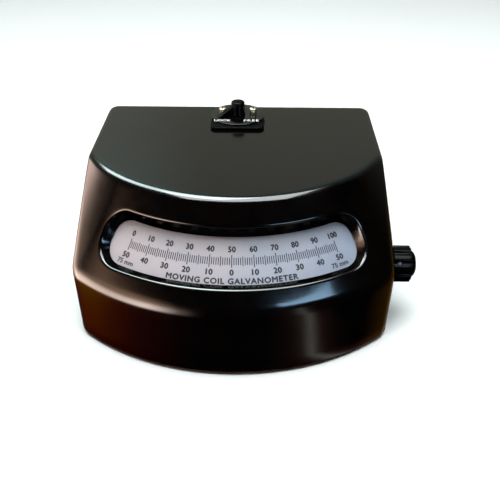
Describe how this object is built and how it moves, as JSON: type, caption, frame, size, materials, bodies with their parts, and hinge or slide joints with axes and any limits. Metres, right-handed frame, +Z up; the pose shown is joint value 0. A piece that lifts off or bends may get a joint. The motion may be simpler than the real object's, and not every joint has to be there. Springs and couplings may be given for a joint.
{
  "type": "light-spot galvanometer",
  "caption": "Table-top light-spot galvanometer: black moulded case, curved translucent scale, clamp knob on top, zero knob on the side, terminals and lamp inlet behind.",
  "frame": {"origin": "centre of the footprint's bounding box, on the table under the feet", "axes": "+Z up, front with the scale towards -Y, zero knob towards +X"},
  "size_m": [0.2499, 0.2242, 0.132],
  "materials": {
    "bakelite": "polished black moulding",
    "knob_black": "satin black moulding",
    "red_plastic": "red moulding",
    "phenolic": "brown paper laminate",
    "opal": "translucent white sheet, printed",
    "rubber": "matt",
    "steel": "plated",
    "black_steel": "black stoved enamel",
    "brass": "turned",
    "aluminium": "satin",
    "magnet_grey": "as cast and ground",
    "varnished_wire": "varnished copper winding",
    "glass": "clear",
    "mirror": "silvered"
  },
  "bodies": {
    "instrument": {"case_shell": "bakelite", "base_plate": "black_steel", "foot_front_left": "rubber", "foot_front_right": "rubber", "foot_back_left": "rubber", "foot_back_right": "rubber", "foot_screw_front_left": "steel", "foot_screw_front_right": "steel", "foot_screw_back_left": "steel", "foot_screw_back_right": "steel", "scale_rail": "black_steel", "zero_bush": "brass", "zero_bracket": "black_steel", "lock_base": "bakelite", "lock_screw_left": "brass", "lock_screw_right": "brass", "galvo_frame": "aluminium", "magnet": "magnet_grey", "pole_piece_left": "steel", "pole_piece_right": "steel", "iron_core": "steel", "core_bracket": "brass", "upper_anchor": "brass", "lower_anchor": "brass", "lamp_tube": "black_steel", "condenser_lens": "glass", "lamp_holder": "brass", "lamp_bulb": "glass", "lamp_stand": "black_steel", "transformer_core": "steel", "transformer_winding": "varnished_wire", "terminal_panel": "phenolic", "panel_screw_1": "steel", "panel_screw_2": "steel", "panel_screw_3": "steel", "panel_screw_4": "steel", "terminal_post_black": "brass", "terminal_post_red": "brass", "lamp_inlet": "knob_black", "inlet_pin_left": "brass", "inlet_pin_right": "brass"},
    "lock": {"lock_knob": "knob_black", "lock_shaft": "steel"},
    "clamp": {"clamp_arm": "brass"},
    "coil": {"moving_coil": "varnished_wire", "coil_hanger": "aluminium", "mirror": "mirror", "upper_suspension": "brass", "lower_suspension": "brass"},
    "zero_drive": {"zero_knob": "knob_black", "zero_grub_screw": "steel", "zero_screw": "steel"},
    "nut": {"zero_nut": "brass"},
    "scale": {"scale_plate": "opal", "scale_carrier": "black_steel"},
    "washer_black": {"terminal_washer_black": "brass"},
    "cap_black": {"terminal_cap_black": "knob_black"},
    "washer_red": {"terminal_washer_red": "brass"},
    "cap_red": {"terminal_cap_red": "red_plastic"}
  },
  "joints": [
    {"name": "lock_turn", "type": "hinge", "parent": "instrument", "child": "lock", "pos_m": [-0.009, 0.0655, 0.121], "axis": [0, 0, 1], "range_deg": [0, 120]},
    {"name": "clamp_lift", "type": "slide", "parent": "instrument", "child": "clamp", "axis": [0, 0, 1], "range_m": [0, 0.0015]},
    {"name": "coil_turn", "type": "hinge", "parent": "instrument", "child": "coil", "pos_m": [-0.009, 0.048, 0.042], "axis": [0, 0, 1], "range_deg": [-8, 8], "stiffness_Nm_per_rad": 0.0002},
    {"name": "zero_turn", "type": "hinge", "parent": "instrument", "child": "zero_drive", "pos_m": [0.1, -0.038, 0.046], "axis": [1, 0, 0], "range_deg": [-1080, 1080]},
    {"name": "nut_travel", "type": "slide", "parent": "instrument", "child": "nut", "axis": [1, 0, 0], "range_m": [-0.00375, 0.00375]},
    {"name": "scale_shift", "type": "hinge", "parent": "instrument", "child": "scale", "pos_m": [-0.009, 0.048, 0.06], "axis": [0, 0, 1], "range_deg": [-2.55, 2.55]},
    {"name": "washer_black_slide", "type": "slide", "parent": "instrument", "child": "washer_black", "axis": [0, 1, 0], "range_m": [0, 0.0028]},
    {"name": "cap_black_turn", "type": "hinge", "parent": "washer_black", "child": "cap_black", "pos_m": [-0.047, 0.1, 0.042], "axis": [0, -1, 0], "range_deg": [0, 1440]},
    {"name": "washer_red_slide", "type": "slide", "parent": "instrument", "child": "washer_red", "axis": [0, 1, 0], "range_m": [0, 0.0028]},
    {"name": "cap_red_turn", "type": "hinge", "parent": "washer_red", "child": "cap_red", "pos_m": [-0.028, 0.1, 0.042], "axis": [0, -1, 0], "range_deg": [0, 1440]}
  ],
  "couplings": [
    {"joint": "lock_turn", "follows": "clamp_lift", "rad_per_m": 1396.3},
    {"joint": "zero_turn", "follows": "nut_travel", "rad_per_m": 5026.5},
    {"joint": "scale_shift", "follows": "nut_travel", "rad_per_m": 11.628},
    {"joint": "cap_black_turn", "follows": "washer_black_slide", "rad_per_m": 8975.9},
    {"joint": "cap_red_turn", "follows": "washer_red_slide", "rad_per_m": 8975.9}
  ]
}
